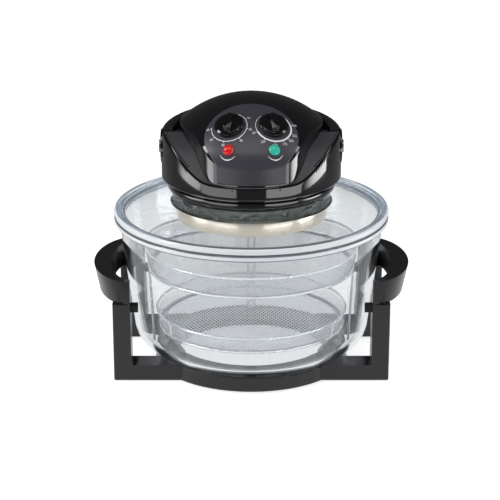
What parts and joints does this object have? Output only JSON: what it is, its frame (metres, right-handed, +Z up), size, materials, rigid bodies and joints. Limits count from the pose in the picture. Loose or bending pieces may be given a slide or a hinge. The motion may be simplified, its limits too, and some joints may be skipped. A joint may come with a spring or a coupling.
{
  "type": "halogen oven",
  "caption": "Countertop halogen oven: a glass bowl on a low stand with loop handles, two wire racks, and a lift-off glass lid that carries the domed heater head with dials.",
  "frame": {"origin": "On the floor under the middle of the bowl, at the centre of the model's base.", "axes": "+Z up, front (dials) towards -Y, +X to the right seen from the front."},
  "size_m": [0.3812, 0.33, 0.3316],
  "materials": {
    "stand_plastic": "satin black moulded plastic",
    "head_plastic": "gloss black moulded plastic",
    "panel_plastic": "gloss black printed panel",
    "knob_plastic": "gloss black moulded knob",
    "rubber_black": "black rubber",
    "silicone_clear": "grey silicone",
    "bowl_glass": "pressed borosilicate glass",
    "chromed_wire": "bright chromed wire",
    "chromed_mesh": "chromed expanded mesh",
    "skirt_steel": "polished steel sheet",
    "inner_steel": "steel sheet",
    "fan_aluminium": "stamped aluminium",
    "lamp_glass": "quartz glass tube",
    "ceramic_white": "white ceramic",
    "unit_plastic": "grey moulded plastic",
    "red_lens": "translucent red lens",
    "green_lens": "translucent green lens",
    "zinc_screw": "zinc plated steel"
  },
  "bodies": {
    "stand": {"stand_ring": "stand_plastic", "stand_leg_front_left": "stand_plastic", "stand_leg_front_right": "stand_plastic", "stand_leg_rear_left": "stand_plastic", "stand_leg_rear_right": "stand_plastic", "handle_left": "stand_plastic", "handle_right": "stand_plastic", "rubber_feet": "rubber_black", "stand_screws": "zinc_screw", "handle_screws": "zinc_screw", "bowl_bumpers": "rubber_black", "bowl_pads": "rubber_black"},
    "bowl": {"glass_bowl": "bowl_glass"},
    "high_rack": {"high_rack_frame": "chromed_wire", "high_rack_net": "chromed_mesh", "high_rack_band": "chromed_mesh"},
    "low_rack": {"low_rack_frame": "chromed_wire", "low_rack_net": "chromed_mesh", "low_rack_band": "chromed_mesh"},
    "carry_handle": {"carry_handle": "head_plastic"},
    "timer_dial": {"timer_knob": "knob_plastic", "timer_shaft": "inner_steel"},
    "thermostat_dial": {"thermostat_knob": "knob_plastic", "thermostat_shaft": "inner_steel"},
    "rotor": {"motor_shaft": "inner_steel", "convection_fan": "fan_aluminium", "cooling_fan": "unit_plastic"},
    "plunger": {"switch_plunger": "unit_plastic"},
    "lid": {"glass_lid": "bowl_glass", "lid_seal": "silicone_clear", "head_base": "head_plastic", "body_shell": "head_plastic", "dome_cover": "head_plastic", "control_panel": "panel_plastic", "timer_unit": "unit_plastic", "thermostat_unit": "unit_plastic", "red_lens": "red_lens", "green_lens": "green_lens", "lamp_bodies": "unit_plastic", "pivot_pins": "inner_steel", "pivot_bushes": "unit_plastic", "head_screws": "zinc_screw", "steel_skirt": "skirt_steel", "reflector_dish": "inner_steel", "motor": "inner_steel", "motor_bracket": "inner_steel", "halogen_tube": "lamp_glass", "lamp_holders": "ceramic_white", "lamp_guard": "chromed_wire", "thermal_cutout": "ceramic_white", "safety_switch": "unit_plastic", "terminal_block": "ceramic_white", "cord_inlet": "rubber_black"}
  },
  "joints": [
    {"name": "bowl_lift", "type": "slide", "parent": "stand", "child": "bowl", "axis": [0, 0, 1], "range_m": [0, 0.14]},
    {"name": "lid_lift", "type": "slide", "parent": "bowl", "child": "lid", "axis": [0, 0, 1], "range_m": [0, 0.3]},
    {"name": "high_rack_lift", "type": "slide", "parent": "bowl", "child": "high_rack", "axis": [0, 0, 1], "range_m": [0, 0.18]},
    {"name": "low_rack_lift", "type": "slide", "parent": "bowl", "child": "low_rack", "axis": [0, 0, 1], "range_m": [0, 0.18]},
    {"name": "carry_handle_fold", "type": "hinge", "parent": "lid", "child": "carry_handle", "pos_m": [0, 0, 0.268], "axis": [1, 0, 0], "range_deg": [0, 90]},
    {"name": "timer_turn", "type": "hinge", "parent": "lid", "child": "timer_dial", "pos_m": [-0.02523, -0.06763, 0.31088], "axis": [0.1944, 0.521, -0.8311], "range_deg": [0, 300]},
    {"name": "thermostat_turn", "type": "hinge", "parent": "lid", "child": "thermostat_dial", "pos_m": [0.02523, -0.06763, 0.31088], "axis": [-0.1944, 0.521, -0.8311], "range_deg": [0, 270]},
    {"name": "fan_spin", "type": "hinge", "parent": "lid", "child": "rotor", "pos_m": [0, 0, 0.238], "axis": [0, 0, 1], "continuous": true},
    {"name": "plunger_travel", "type": "slide", "parent": "lid", "child": "plunger", "axis": [0, 0, 1], "range_m": [0, 0.0025]}
  ],
  "couplings": [
    {"joint": "high_rack_lift", "follows": "lid_lift", "ratio": 0.6},
    {"joint": "low_rack_lift", "follows": "lid_lift", "ratio": 0.6},
    {"joint": "plunger_travel", "follows": "carry_handle_fold", "m_per_rad": 0.00159}
  ]
}
